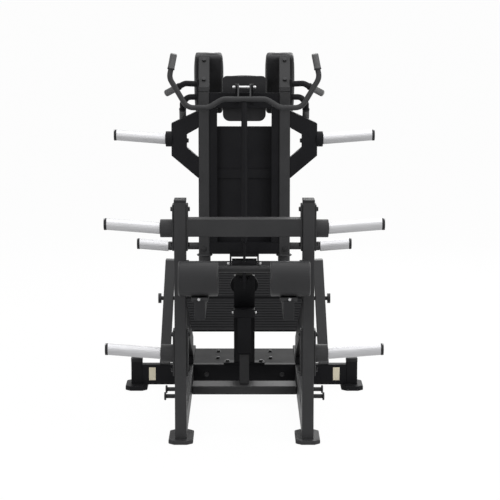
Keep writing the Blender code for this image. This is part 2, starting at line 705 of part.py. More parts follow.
def back_frame():
    """Tray behind the back pad: a board between two rails, with one strip across."""
    frame = Part("back_frame", PAINT, "lever")
    frame.box((-BOARD_WIDTH / 2, BOARD_FAR - BOARD_THICK, POST_LOW), (BOARD_WIDTH / 2, BOARD_FAR, BOARD_TOP))
    inner, outer = BOARD_WIDTH / 2 - 0.001, POST_IN - GAP
    for near, edge in ((inner, outer), (-outer, -inner)):
        frame.box((near, POST_D - RAIL_DEPTH / 2, LOWER_MEMBER_LOW + LOWER_MEMBER_HEIGHT + GAP),
                  (edge, POST_FAR + 0.001, UPPER_MEMBER_LOW - GAP))
    far = BOARD_FAR - BOARD_THICK + 0.001
    frame.box((-BOARD_WIDTH / 2 - 0.002, far - 0.009, BRACE_STRIP_LOW),
              (BOARD_WIDTH / 2 + 0.002, far, BRACE_STRIP_LOW + BRACE_STRIP_HEIGHT))
    frame.build(0.0005)
    pad = Part("back_pad", VINYL, "lever")
    pad.box((-PAD_WIDTH / 2, PAD_BACK, PAD_LOW), (PAD_WIDTH / 2, PAD_BACK + PAD_THICK, BOARD_TOP))
    pad.build(0.012)


def headrest():
    plate = Part("headrest_plate", PLASTIC, "lever")
    half = HEADREST_WIDTH / 2
    low, top = HEADREST_LOW, HEADREST_TOP
    under, over = HEADREST_LOWER_CORNER, HEADREST_UPPER_CORNER
    shape = (arc((-half + under, low + under), under, 180, 270, 6)
             + arc((half - under, low + under), under, 270, 360, 6)
             + arc((half - over, top - over), over, 0, 90, 4) + arc((-half + over, top - over), over, 90, 180, 4))
    back = POST_D + MEMBER_DEPTH / 2 + GAP
    plate.outline(shape, back, back + HEADREST_PLATE_THICK, "width").build(0.002)
    pad = Part("headrest_pad", VINYL, "lever")
    back += HEADREST_PLATE_THICK + GAP
    pad.outline(shape, back, back + HEADREST_THICK, "width").build(0.006)


def shoulder_rests():
    rise = math.tan(math.radians(SHOULDER_ARM_RISE))
    low = POST_TOP + GAP
    lean = math.radians(SHOULDER_PAD_LEAN)
    top = low + SHOULDER_ARM_REACH * rise + SHOULDER_ARM_NOSE
    back_top = SHOULDER_PAD_BACK - GAP
    lowest = top - SHOULDER_ARM_FACE

    def pad_face(height):
        """Depth of the pad's rear face at a height."""
        return back_top + (top - height) * math.tan(lean)

    for name, sign in SIDES:
        arm = Part("shoulder_arm_" + name, PAINT, "lever")
        arm.outline([(POST_BACK, low), (POST_FAR, low), (pad_face(lowest), lowest), (pad_face(top), top),
                     (pad_face(top) - 0.012, top), (POST_BACK, low + 0.022)], POST_IN, POST_OUT)
        arm.side(sign).build(0.003)
        pad = Part("shoulder_pad_" + name, VINYL, "lever")
        half = SHOULDER_PAD_WIDTH / 2
        pad.box((-half, 0.0, -SHOULDER_PAD_LENGTH), (half, SHOULDER_PAD_THICK, 0.0))
        back = pad_face(top + PAD_OVER_ARM) + GAP
        pad.transform(Matrix.Translation((SHOULDER_PAD_X, back, top + PAD_OVER_ARM))
                      @ Matrix.Rotation(lean, 4, "X"))
        pad.side(sign).build(0.012, 2)


def horn_brackets():
    """C-shaped plates outside the posts that carry the upper horns."""
    edge = POST_OUT + GAP
    back = POST_D - BRACKET_DEPTH / 2
    for name, sign in SIDES:
        plate = Part("horn_bracket_" + name, PAINT, "lever")
        plate.outline([(edge, 1.378), (BRACKET_X, 1.319), (BRACKET_X, 1.169), (edge, 1.063), (edge, 1.160),
                       (0.267, 1.207), (0.267, 1.268), (edge, 1.298)][::-1],
                      back, back + BRACKET_DEPTH, "width")
        plate.rod((BRACKET_X - WELD, POST_D, UPPER_HORN_Z),
                  (BRACKET_X + CARRIAGE_COLLAR_LENGTH, POST_D, UPPER_HORN_Z), CARRIAGE_COLLAR_RADIUS)
        plate.side(sign).build(0.002)
        horn("carriage_horn_upper_" + name, "lever", sign,
             (BRACKET_X + CARRIAGE_COLLAR_LENGTH, POST_D, UPPER_HORN_Z), CARRIAGE_HORN_LENGTH)


def handles():
    """Two fixed handles on each side, welded to one mounting plate on the post."""
    start = POST_OUT + GAP
    for name, sign in SIDES:
        pair = Part("fixed_handles_" + name, PAINT, "lever")
        pair.box((start, POST_D - 0.020, 1.415), (start + 0.006, POST_D + 0.020, 1.455 + 0.068))
        for route in handle_routes(start + 0.004):
            pair.pipe(rounded_route(route, HANDLE_BEND), HANDLE_RADIUS)
        pair.side(sign).build()


def handle_routes(start):
    """Corner points of the lower and the upper fixed handle, on the right."""
    lower = [(start, POST_D, 1.440), (0.262, POST_D, 1.440), (0.2875, POST_D + 0.02, 1.410),
             (0.2875, POST_D + 0.075, 1.300)]
    upper = [(start, POST_D, 1.500), (0.275, POST_D, 1.503), (0.362, POST_D + 0.045, 1.455)]
    return lower, upper


# ---------------------------------------------------------------- safety bar, rod and latch
def safety_bar(pin_hole):
    bar = Part("safety_bar", PAINT, "safety_bar")
    half = [(0.0, 0.0), (0.100, 0.0), (0.165, -0.039), (0.262, -0.039), (0.343, 0.098), (0.322, 0.203)]
    right = [(x, BAR_D, BAR_Z + rise) for x, rise in half]
    left = [(-x, depth, height) for x, depth, height in right[:0:-1]]
    bar.pipe(rounded_route(left + right, 0.055), BAR_RADIUS, 4)
    for low in (CLAMP_X, -CLAMP_X - CLAMP_THICK):
        foot = [(BAR_D - 0.008, BAR_Z), (BAR_D + 0.018, BAR_Z),
                (BAR_PIVOT_D + CLAMP_HALF_HEIGHT, BAR_PIVOT_Z - 0.008)]
        bar.outline(foot + arc((BAR_PIVOT_D, BAR_PIVOT_Z), CLAMP_HALF_HEIGHT, 0, 160, 8),
                    low, low + CLAMP_THICK)
    bar.build(cutting=[pin_hole])


def upper_crossmember(pin_hole):
    """Tube between the posts, with the two lugs that hold the safety bar's pin."""
    back = POST_D - MEMBER_DEPTH / 2
    member = Part("upper_crossmember", PAINT, "lever")
    reach = POST_IN - GAP
    member.box((-reach, back, UPPER_MEMBER_LOW),
               (reach, back + MEMBER_DEPTH, UPPER_MEMBER_LOW + UPPER_MEMBER_HEIGHT))
    inner = CLAMP_X + CLAMP_THICK + GAP
    for low in (inner, -inner - LUG_THICK):
        foot = [(BAR_PIVOT_D - 0.014, BAR_PIVOT_Z - 0.012), (back + WELD, 1.400), (back + WELD, 1.456),
                (BAR_PIVOT_D + 0.018, 1.500)]
        member.outline(foot + arc((BAR_PIVOT_D, BAR_PIVOT_Z), 0.016, 40, 180, 8), low, low + LUG_THICK)
    member.build(0.001, cutting=[pin_hole])
    pin = Part("bar_pivot_pin", ZINC, "lever")
    reach = inner + LUG_THICK + 0.004
    pin.rod((-reach, BAR_PIVOT_D, BAR_PIVOT_Z), (reach, BAR_PIVOT_D, BAR_PIVOT_Z), PIN_RADIUS).build()


def push_rod():
    rod = Part("push_rod", PAINT, "push_rod")
    top = BAR_Z - BAR_RADIUS - ROD_CLEARANCE
    tip = LATCH_Z + LATCH_RADIUS + ROD_CLEARANCE
    rod.rod((0.0, BAR_D, ROD_SHOULDER), (0.0, BAR_D, top), ROD_RADIUS)
    rod.rod((0.0, BAR_D, tip), (0.0, BAR_D, ROD_SHOULDER + WELD), ROD_TIP_RADIUS)
    rod.build(0.001)


def latch(bolt_hole):
    pawl = Part("latch_pawl", PAINT, "latch")
    pawl.rod((-LATCH_HALF_WIDTH, LATCH_D, LATCH_Z), (LATCH_HALF_WIDTH, LATCH_D, LATCH_Z), LATCH_RADIUS)
    foot = CATCH_Z - 0.022
    high = LATCH_Z + LATCH_RADIUS
    pawl.outline([(LATCH_D - 0.014, LATCH_Z), (LATCH_D - 0.014, foot - 0.014), (CATCH_D - 0.019, foot - 0.014),
                  (CATCH_D - 0.019, foot), (LATCH_D + 0.010, foot), (LATCH_D + 0.014, LATCH_Z),
                  (LATCH_D + 0.010, LATCH_Z + 0.018), (LATCH_D - 0.010, high - 0.002),
                  (BAR_D - 0.010, high - 0.001), (BAR_D - 0.010, high - 0.011),
                  (LATCH_D - 0.024, LATCH_Z + 0.006)][::-1], -LATCH_PLATE / 2, LATCH_PLATE / 2)
    pawl.build(cutting=[bolt_hole])
    bracket = Part("latch_bracket", PAINT, "lever")
    back = POST_D - MEMBER_DEPTH / 2
    reach = POST_IN - GAP
    bracket.box((-reach, back, LOWER_MEMBER_LOW),
                (reach, back + MEMBER_DEPTH, LOWER_MEMBER_LOW + LOWER_MEMBER_HEIGHT))
    top = LOWER_MEMBER_LOW + WELD
    outer = LATCH_HALF_WIDTH + 0.0022 + LATCH_BRACKET_THICK
    inner = outer - LATCH_BRACKET_THICK
    half = LATCH_BRACKET_DEPTH / 2
    low = LATCH_Z - 0.020
    under = top - LATCH_BRACKET_THICK - WELD
    bracket.outline([(-outer, low), (-inner, low), (-inner, under), (inner, under), (inner, low),
                     (outer, low), (outer, top), (-outer, top)], LATCH_D - half, LATCH_D + half, "width")
    bracket.build(cutting=[bolt_hole])
    bolt = Part("latch_bolt", ZINC, "lever")
    bolt.rod((-outer - 0.003, LATCH_D, LATCH_Z), (outer + 0.003, LATCH_D, LATCH_Z), PIN_RADIUS).build()


# ---------------------------------------------------------------- footplate and its masts
def masts(pin_hole):
    low = FLOOR_TUBE_TOP + GAP + 0.0009
    half = MAST_DEPTH / 2
    lean = Matrix.Rotation(math.radians(-MAST_LEAN), 4, "Y")
    for name, sign in SIDES:
        mast = Part("mast_" + name, PAINT)
        mast.outline([(BASE_BEAM_D - half, low), (BASE_BEAM_D + half, low),
                      (BASE_BEAM_D + half + MAST_REACH, MAST_TOP), (BASE_BEAM_D - half + MAST_REACH, MAST_TOP)],
                     -MAST_WIDTH / 2, MAST_WIDTH / 2)
        mast.transform(Matrix.Translation((MAST_X, 0.0, low)) @ lean @ Matrix.Translation((0.0, 0.0, -low)))
        mast.side(sign).build(0.003, cutting=[pin_hole])


def footplate(pin_hole):
    plate = Part("footplate", PAINT, "footplate")
    top, low = FOOTPLATE_ABOVE, -FOOTPLATE_BELOW
    surface = [(low, -FOOTPLATE_THICK), (low, 0.0)]
    ribs = int((top - low - FOOTPLATE_SMOOTH - 0.02) / RIB_PITCH)
    for rib in range(ribs):
        start = low + 0.02 + rib * RIB_PITCH
        surface += [(start, 0.0), (start + 0.002, RIB_HEIGHT), (start + RIB_PITCH * 0.45, RIB_HEIGHT),
                    (start + RIB_PITCH * 0.45 + 0.002, 0.0)]
    surface += [(top, 0.0), (top, -FOOTPLATE_THICK)]
    plate.outline(surface[::-1], -FOOTPLATE_WIDTH / 2, FOOTPLATE_WIDTH / 2)
    outer = FOOTPLATE_WIDTH / 2
    for start, end in ((outer - WELD, outer + CHEEK_THICK), (-outer - CHEEK_THICK, -outer + WELD)):
        plate.rod((start, 0.0, 0.0), (end, 0.0, 0.0), CHEEK_RADIUS)
    place = Matrix.Translation((0.0, FOOTPLATE_PIVOT_D, FOOTPLATE_PIVOT_Z))
    plate.transform(place @ Matrix.Rotation(math.radians(FOOTPLATE_ANGLE), 4, "X"))
    plate.build(cutting=[pin_hole])
    start = outer + WELD
    end = MAST_X + MAST_WIDTH / 2 + 0.004
    for name, sign in SIDES:
        pin = Part("footplate_pin_" + name, BLACK_STEEL)
        pin.rod((start, FOOTPLATE_PIVOT_D, FOOTPLATE_PIVOT_Z),
                (end, FOOTPLATE_PIVOT_D, FOOTPLATE_PIVOT_Z), FOOT_PIN_RADIUS)
        pin.rod((end - WELD, FOOTPLATE_PIVOT_D, FOOTPLATE_PIVOT_Z),
                (end + FOOT_CAP_THICK, FOOTPLATE_PIVOT_D, FOOTPLATE_PIVOT_Z), FOOT_CAP_RADIUS)
        pin.side(sign).build()


# ---------------------------------------------------------------- assembly
uprights()
storage_plates()
cross_tubes()
base_frame()
floor_tubes()
side_tubes()
step_plate()
centre_column()
brace()
axle_bore = cross_drill("axle_bore", AXLE_D, AXLE_Z, 0.4, AXLE_RADIUS + RUNNING_GAP)
bar_bore = cross_drill("bar_pivot_bore", BAR_PIVOT_D, BAR_PIVOT_Z, 0.1, PIN_RADIUS + RUNNING_GAP)
latch_bore = cross_drill("latch_bore", LATCH_D, LATCH_Z, 0.1, PIN_RADIUS + RUNNING_GAP)
foot_bore = cross_drill("footplate_bore", FOOTPLATE_PIVOT_D, FOOTPLATE_PIVOT_Z, 0.6,
                        FOOT_PIN_RADIUS + RUNNING_GAP)
axle(axle_bore)
lever(axle_bore)
carriage_posts()
back_frame()
headrest()
shoulder_rests()
horn_brackets()
handles()
safety_bar(bar_bore)
upper_crossmember(bar_bore)
push_rod()
latch(latch_bore)
masts(foot_bore)
footplate(foot_bore)
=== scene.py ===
# %% [markdown]
# # Dressing a counterbalanced leg press
# The steel frame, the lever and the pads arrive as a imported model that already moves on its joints.
# This lesson gives each surface its finish, swaps the four plain pads for stuffed vinyl cushions, and
# adds the small parts that a fitter would put on last: bolts, caps, grips and blank plates.

# %% Load the frame
import json
import math

import bmesh
import bpy
from mathutils import Matrix, Vector

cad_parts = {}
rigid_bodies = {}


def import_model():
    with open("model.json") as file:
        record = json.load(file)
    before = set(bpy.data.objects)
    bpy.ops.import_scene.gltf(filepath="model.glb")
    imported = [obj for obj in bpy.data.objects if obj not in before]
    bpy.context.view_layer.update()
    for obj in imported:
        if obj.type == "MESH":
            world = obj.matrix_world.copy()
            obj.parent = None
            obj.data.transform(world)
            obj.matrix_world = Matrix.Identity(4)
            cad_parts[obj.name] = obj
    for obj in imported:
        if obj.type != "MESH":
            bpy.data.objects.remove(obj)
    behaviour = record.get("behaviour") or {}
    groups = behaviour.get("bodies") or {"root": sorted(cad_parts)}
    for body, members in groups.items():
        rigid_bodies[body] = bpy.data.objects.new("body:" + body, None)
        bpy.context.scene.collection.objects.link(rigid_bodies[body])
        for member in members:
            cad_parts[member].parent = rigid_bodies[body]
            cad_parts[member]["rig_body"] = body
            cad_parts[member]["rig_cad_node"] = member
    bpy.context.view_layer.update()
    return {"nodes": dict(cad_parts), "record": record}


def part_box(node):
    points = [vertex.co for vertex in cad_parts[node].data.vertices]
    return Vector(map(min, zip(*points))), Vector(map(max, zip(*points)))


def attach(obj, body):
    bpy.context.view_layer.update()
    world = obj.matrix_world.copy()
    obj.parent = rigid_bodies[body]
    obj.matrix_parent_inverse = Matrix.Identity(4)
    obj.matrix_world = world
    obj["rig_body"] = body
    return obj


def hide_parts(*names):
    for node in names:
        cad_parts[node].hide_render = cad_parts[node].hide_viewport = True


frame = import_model()
nodes = frame["nodes"]

# %% [markdown]
# Depths on this machine are easiest to give from the rear faces of the two uprights, so one helper
# turns a width, such a depth and a height into a point. Only those rear faces are measured, from a
# packed ground tube. The places of the small parts are written out again from the sizes the frame was
# drawn with, so a change to the frame would have to be carried over by hand.

# %% Places on the machine
GROUND_TUBE_START = 0.1003    # depth at which a ground tube starts
UPRIGHT_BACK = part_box("ground_tube_left")[0].y - GROUND_TUBE_START
SIDES = (-1, 1)


def at(width, depth, height):
    """A point from its width, its depth behind the uprights' rear faces, and its height."""
    return Vector((width, UPRIGHT_BACK + depth, height))


print("uprights' rear faces at", round(UPRIGHT_BACK, 4))

# %% [markdown]
# ## Shader arithmetic
# A finish is a recipe of numbers that change over the surface. Writing that recipe as Python
# expressions is shorter than naming every Math node, so one class wraps a socket and its operators.
# Every other node comes from one function, which the materials, the floor and the world share.

# %% Nodes and a wrapped socket
def feed(socket, value):
    """Links a socket to another, or sets its value."""
    value = value.socket if isinstance(value, Field) else value
    if isinstance(value, bpy.types.NodeSocket):
        socket.id_data.links.new(value, socket)
    else:
        socket.default_value = value


def add_node(tree, kind, settings, values):
    """Any node: its settings first, then the values or links of its sockets."""
    made = tree.nodes.new(kind)
    for name, value in settings.items():
        setattr(made, name, value)
    for key, value in values.items():
        feed(made.inputs[key], value)
    return made


class Field:
    """A number that varies over a surface."""

    def __init__(self, finish, socket):
        self.finish = finish
        self.socket = socket

    def combine(self, operation, first, second):
        made = self.finish.node("ShaderNodeMath", {"operation": operation}, {0: first, 1: second})
        return Field(self.finish, made.outputs[0])

    def __add__(self, other):
        return self.combine("ADD", self, other)

    __radd__ = __add__

    def __mul__(self, other):
        return self.combine("MULTIPLY", self, other)

    __rmul__ = __mul__

    def __sub__(self, other):
        return self.combine("SUBTRACT", self, other)

    def __rsub__(self, other):
        return self.combine("SUBTRACT", other, self)

    def above(self, edge, width):
        """0 below an edge and 1 above it, with a soft step of that width."""
        made = self.finish.node("ShaderNodeMapRange", {"interpolation_type": "SMOOTHSTEP"},
                                {"Value": self, "From Min": edge - width, "From Max": edge + width})
        return Field(self.finish, made.outputs["Result"])


class Finish:
    """A Principled material that reads Object coordinates."""

    def __init__(self, name, roughness, metallic=0.0, specular=0.5):
        self.material = bpy.data.materials.new(name)
        self.material.use_nodes = True
        self.tree = self.material.node_tree
        self.shader = self.tree.nodes["Principled BSDF"]
        self.place = self.node("ShaderNodeTexCoord", {}, {}).outputs["Object"]
        self.shader.inputs["Roughness"].default_value = roughness
        self.shader.inputs["Metallic"].default_value = metallic
        self.shader.inputs["Specular IOR Level"].default_value = specular

    def node(self, kind, settings, values):
        return add_node(self.tree, kind, settings, values)

    def stretched(self, scale):
        return self.node("ShaderNodeMapping", {}, {"Vector": self.place, "Scale": scale}).outputs[0]

    def noise(self, scale, detail=2.0, stretch=None):
        where = self.stretched(stretch) if stretch else self.place
        made = self.node("ShaderNodeTexNoise", {}, {"Vector": where, "Scale": scale, "Detail": detail})
        return Field(self, made.outputs["Fac"])

    def cells(self, scale):
        made = self.node("ShaderNodeTexVoronoi", {"feature": "DISTANCE_TO_EDGE"},
                         {"Vector": self.place, "Scale": scale})
        return Field(self, made.outputs["Distance"])

    def colour(self, dark, light, share):
        """Mixes two colours by a field."""
        made = self.node("ShaderNodeMix", {"data_type": "RGBA"},
                         {0: share, 6: (*dark, 1.0), 7: (*light, 1.0)})
        feed(self.shader.inputs["Base Color"], made.outputs[2])

    def rough(self, share):
        feed(self.shader.inputs["Roughness"], share)

    def relief(self, height, strength, distance):
        made = self.node("ShaderNodeBump", {}, {"Height": height, "Strength": strength,
                                                 "Distance": distance})
        feed(self.shader.inputs["Normal"], made.outputs[0])


print("shader helpers ready")

# %% [markdown]
# ## Painted steel
# The tubes are powder coated. The coat has a fine orange peel, a few millimetres across, and a
# slightly uneven sheen where it has been wiped and handled. The cast counterweights have a smoother,
# glossier coat.

# %% Powder coat and weight paint
CLOUD_SCALE, SCUFF_SCALE, PEEL_SCALE = 9.0, 60.0, 420.0    # noise scales, coarse to fine
SCUFF_EDGE, SCUFF_SOFTNESS, SCUFF_ROUGHNESS = 0.64, 0.05, 0.06
PEEL_STRENGTH, PEEL_HEIGHT = 0.22, 0.0006


def powder_coat(name, dark, light, low, spread, specular):
    paint = Finish(name, low, 0.0, specular)
    mottle = paint.noise(CLOUD_SCALE, 4.0)
    paint.colour(dark, light, mottle)
    scuffs = paint.noise(SCUFF_SCALE, 5.0).above(SCUFF_EDGE, SCUFF_SOFTNESS)
    paint.rough(mottle * spread + scuffs * SCUFF_ROUGHNESS + low)
    paint.relief(paint.noise(PEEL_SCALE, 2.0), PEEL_STRENGTH, PEEL_HEIGHT)
    return paint.material


SATIN = powder_coat("satin_black_coat", (0.021, 0.021, 0.022), (0.031, 0.031, 0.032),
                    0.38, 0.14, 0.14)
# A darker copy of the satin coat: painted shade for pieces that sit in shade.
SHADED_COAT = powder_coat("shaded_black_coat", (0.005, 0.005, 0.006), (0.010, 0.010, 0.011),
                   0.42, 0.14, 0.07)
# A darker, rougher copy for the foot and step plates: the roughness is a tread finish, the darker
# colour is painted shade between the columns.
SHADED_TREAD_COAT = powder_coat("shaded_tread_coat", (0.009, 0.009, 0.010), (0.016, 0.016, 0.017),
                    0.58, 0.12, 0.08)
CAST = powder_coat("cast_weight_coat", (0.020, 0.020, 0.021), (0.029, 0.029, 0.030),
                   0.34, 0.12, 0.10)
print("coats", SATIN.name, SHADED_COAT.name, SHADED_TREAD_COAT.name, CAST.name)

# %% [markdown]
# ## Bare metal
# Plates slide on and off the horns, so their chrome carries long fine scratches along its length and
# dull bands. Stretching a noise along X draws them. Zinc on bolts and pins is duller and cloudier.

# %% Chrome, zinc and blackened steel
ALONG_X, ALL_WAYS = (0.06, 1.0, 1.0), (1, 1, 1)    # how a streak is stretched
HANDLING_SCALE, HANDLING_ROUGHNESS = 14.0, 0.08
STREAK_STRENGTH, STREAK_HEIGHT = 0.10, 0.0003


def bare_metal(name, dark, light, low, spread, stretch, scale):
    metal = Finish(name, low, 1.0)
    streaks = metal.noise(scale, 3.0, stretch)
    metal.colour(dark, light, streaks)
    metal.rough(streaks * spread + metal.noise(HANDLING_SCALE, 2.0) * HANDLING_ROUGHNESS + low)
    metal.relief(streaks, STREAK_STRENGTH, STREAK_HEIGHT)
    return metal.material


CHROME = bare_metal("worn_chrome", (0.36, 0.36, 0.37), (0.50, 0.50, 0.51),
                    0.34, 0.12, ALONG_X, 300.0)
ZINC = bare_metal("bright_zinc_plate", (0.36, 0.36, 0.37), (0.54, 0.54, 0.54),
                  0.22, 0.18, ALL_WAYS, 160.0)
BLACK_STEEL = bare_metal("blackened_steel", (0.020, 0.020, 0.021), (0.045, 0.045, 0.046),
                         0.34, 0.16, ALL_WAYS, 220.0)
print("metals", CHROME.name, ZINC.name, BLACK_STEEL.name)

# %% [markdown]
# ## Plastic, rubber and vinyl
# Caps are moulded plastic with a spark-eroded texture. Rubber is matt and dusty. Vinyl upholstery has
# a leather grain: small cells with a crease round each, which a Voronoi texture's distance to the edge
# gives. The creases are also coloured darker than the cells, as painted shade.

# %% Moulded plastic, rubber, grip and blank plate
def moulded(name, dark, light, low, scale, strength):
    stuff = Finish(name, low, 0.0, 0.2)
    cloud = stuff.noise(18.0, 3.0)
    stuff.colour(dark, light, cloud)
    stuff.rough(cloud * 0.16 + low)
    stuff.relief(stuff.noise(scale, 3.0), strength, 0.0005)
    return stuff.material


PLASTIC = moulded("moulded_cap_plastic", (0.006, 0.006, 0.007), (0.012, 0.012, 0.013),
                  0.46, 900.0, 0.25)
RUBBER = moulded("stop_rubber", (0.018, 0.018, 0.018), (0.034, 0.034, 0.033), 0.74, 500.0, 0.35)
GRIP = moulded("grip_rubber", (0.060, 0.060, 0.061), (0.095, 0.095, 0.096), 0.64, 380.0, 0.40)
GREY_CAP = moulded("grey_cap_plastic", (0.20, 0.20, 0.20), (0.27, 0.27, 0.27), 0.40, 700.0, 0.15)
PLATE = moulded("blank_plate_film", (0.56, 0.51, 0.39), (0.64, 0.59, 0.46), 0.42, 700.0, 0.08)


GRAIN_SCALE, CREASE_EDGE, CREASE_SOFTNESS = 520.0, 0.07, 0.06
VINYL_ROUGHNESS = 0.44


def grained_vinyl():
    vinyl = Finish("grained_black_vinyl", VINYL_ROUGHNESS, 0.0, 0.2)
    crease_and_shade = vinyl.cells(GRAIN_SCALE).above(CREASE_EDGE, CREASE_SOFTNESS)
    wear = vinyl.noise(7.0, 3.0)
    # Creases darker than the cell centres: painted shade in the grain; the wear noise is random tone.
    vinyl.colour((0.008, 0.008, 0.009), (0.018, 0.018, 0.019), crease_and_shade * 0.6 + wear * 0.4)
    vinyl.rough(wear * 0.14 + crease_and_shade * -0.08 + VINYL_ROUGHNESS)
    vinyl.relief(crease_and_shade, 0.35, 0.0005)
    return vinyl.material


VINYL = grained_vinyl()
print("soft finishes", PLASTIC.name, RUBBER.name, GRIP.name, PLATE.name, VINYL.name)

# %% [markdown]
# Each imported node says in the record which slot its finish belongs to, so one table dresses them all.
# Some black pieces sit in shade, so two short lists give them a darker copy of the coat as painted
# shade, the foot and step plates a rougher one.

# %% Dress the imported nodes
FINISHES = {"satin_black_paint": SATIN, "weight_paint": CAST, "chrome": CHROME, "zinc": ZINC,
            "black_steel": BLACK_STEEL, "black_plastic": PLASTIC, "rubber": RUBBER, "vinyl": VINYL}
SHADED_NODES = ("back_frame", "base_frame", "horn_bracket_left", "horn_bracket_right", "push_rod",
              "centre_column", "upper_crossmember", "latch_bracket", "latch_pawl", "lever_crossbar",
              "brace_sleeve", "side_tube_left", "side_tube_right", "fixed_handles_left",
              "fixed_handles_right")
SHADED_TREAD_NODES = ("footplate", "step_plate")
for row in frame["record"]["subparts"]:
    node = nodes[row["node"]]
    node.data.materials.clear()
    coat = SHADED_COAT if row["node"] in SHADED_NODES else FINISHES[row["material_slot"]]
    node.data.materials.append(SHADED_TREAD_COAT if row["node"] in SHADED_TREAD_NODES else coat)
print("dressed", len(nodes), "nodes")

# %% [markdown]
# ## Working by hand, in code
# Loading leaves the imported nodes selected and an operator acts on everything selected, so each step
# starts by deselecting all. In edit mode the faces to work on are picked by where they look.

# %% Helpers for edit mode
LOOKS_THAT_WAY = 0.9    # cosine between a face's normal and a direction
SHARP_EDGE, SMOOTH_BELOW = math.radians(40), math.radians(35)


def pick_only(*pieces):
    """Selects these pieces alone, with the first one active."""
    bpy.ops.object.select_all(action="DESELECT")
    for piece in pieces:
        piece.select_set(True)
    bpy.context.view_layer.objects.active = pieces[0]


def start_editing(piece):
    pick_only(piece)
    bpy.ops.object.mode_set(mode="EDIT")
    bpy.ops.mesh.select_mode(type="FACE")


def choose_faces(piece, direction):
    """Selects only the faces that look along a direction."""
    shape = bmesh.from_edit_mesh(piece.data)
    for face in shape.faces:
        face.select_set(face.normal.dot(Vector(direction)) > LOOKS_THAT_WAY)
    bmesh.update_edit_mesh(piece.data)


def stop_editing():
    bpy.ops.object.mode_set(mode="OBJECT")


def apply_modifier(piece, kind, **settings):
    """Adds one modifier and applies it."""
    pick_only(piece)
    made = piece.modifiers.new(kind.title(), kind)
    for name, value in settings.items():
        setattr(made, name, value)
    bpy.ops.object.modifier_apply(modifier=made.name)


def soften(piece, width, segments=2):
    apply_modifier(piece, "BEVEL", width=width, segments=segments, limit_method="ANGLE",
                   angle_limit=SHARP_EDGE)


def settle(piece, body, finish):
    """Puts a finished piece's place in its mesh, gives it its finish and its body."""
    pick_only(piece)
    bpy.ops.object.transform_apply(location=True, rotation=True, scale=True)
    bpy.ops.object.shade_smooth_by_angle(angle=SMOOTH_BELOW)
    piece.data.materials.clear()
    piece.data.materials.append(finish)
    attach(piece, body)
    print(piece.name, len(piece.data.polygons), "faces on", body)
    return piece


def place_copies(master, name, spots, body, finish):
    """Copies a master, drawn along +Z from the origin, to each (place, axis), and joins the copies."""
    made = []
    for place, axis in spots:
        twin = master.copy()
        twin.data = master.data.copy()
        bpy.context.collection.objects.link(twin)
        turn = Vector(axis).to_track_quat("Z", "Y").to_matrix().to_4x4()
        twin.data.transform(Matrix.Translation(place) @ turn)
        made.append(twin)
    pick_only(*made)
    if len(made) > 1:
        bpy.ops.object.join()
    made[0].name = name
    return settle(made[0], body, finish)


print("helpers ready")

# %% [markdown]
# ## Masters
# A hexagon head on its washer, a round cap with a dished face and a square plug cover nearly all the
# small hardware. Each is a primitive whose top face is inset and pushed, with its edges bevelled.

# %% Hexagon head, round cap and square plug
ROUND_RIM, SQUARE_RIM = 0.22, 0.16    # rim left round a dished face, as a share of its size


def round_master(name, radius, length, sides, dish, bevel):
    bpy.ops.object.select_all(action="DESELECT")
    bpy.ops.mesh.primitive_cylinder_add(vertices=sides, radius=radius, depth=length,
                                        location=(0, 0, length / 2))
    piece = bpy.context.object
    piece.name = name
    start_editing(piece)
    choose_faces(piece, (0, 0, 1))
    bpy.ops.mesh.inset(thickness=radius * ROUND_RIM, depth=0)
    bpy.ops.transform.translate(value=(0, 0, dish))
    stop_editing()
    soften(piece, bevel)
    bpy.ops.object.transform_apply(location=True, rotation=True, scale=True)
    return piece


def bolt_master():
    head = round_master("hex_head", 0.0098, 0.0082, 6, 0.0004, 0.0006)
    washer = round_master("washer", 0.0118, 0.0019, 28, -0.0001, 0.0003)
    pick_only(head, washer)
    bpy.ops.object.join()
    return head


def square_master(name, width, depth, height, dish):
    bpy.ops.object.select_all(action="DESELECT")
    bpy.ops.mesh.primitive_cube_add(size=1, location=(0, 0, height / 2), scale=(width, depth, height))
    piece = bpy.context.object
    piece.name = name
    bpy.ops.object.transform_apply(location=True, rotation=True, scale=True)
    start_editing(piece)
    choose_faces(piece, (0, 0, 1))
    bpy.ops.mesh.inset(thickness=min(width, depth) * SQUARE_RIM, depth=0)
    bpy.ops.transform.translate(value=(0, 0, dish))
    stop_editing()
    soften(piece, min(0.0012, height * 0.3))
    return piece


BOLT = bolt_master()
SMALL_HEAD = round_master("small_head", 0.0062, 0.0085, 20, 0.0004, 0.0008)
masters = [BOLT, SMALL_HEAD]
print("bolt master", len(BOLT.data.polygons), "faces")

# %% [markdown]
# ## Bolts
# The storage plates are bolted through the uprights, the crossbeam's end plates likewise, and the
# column, the base beam and the step plate have their own. They are black; the pivots' are bright zinc.

# %% Frame bolts
UPRIGHT_MIDDLE = 0.050                     # depth of the uprights' middle
PLATE_LEVELS = (0.935, 0.391)              # heights of the storage plates' middles
PLATE_BOLT_RISE = 0.077                    # from a plate's middle to its bolts
OUTER_BOLTS, INNER_BOLTS = 0.3073, 0.2407  # widths at which the washers seat
BEAM_REAR = 1.100                          # depth of the base beam's rear face
frame_spots = []
for side in SIDES:
    for level in PLATE_LEVELS:
        for rise in (-PLATE_BOLT_RISE, PLATE_BOLT_RISE):
            frame_spots.append((at(side * OUTER_BOLTS, UPRIGHT_MIDDLE, level + rise), (side, 0, 0)))
            frame_spots.append((at(side * INNER_BOLTS, UPRIGHT_MIDDLE, level + rise), (-side, 0, 0)))
    frame_spots.append((at(side * 0.082, 1.125, 0.1289), (0, 0, 1)))
    frame_spots.append((at(side * 0.184, BEAM_REAR, 0.070), (0, -1, 0)))
    frame_spots += [(at(side * 0.130, depth, 0.1183), (0, 0, 1)) for depth in (1.25, 1.42)]
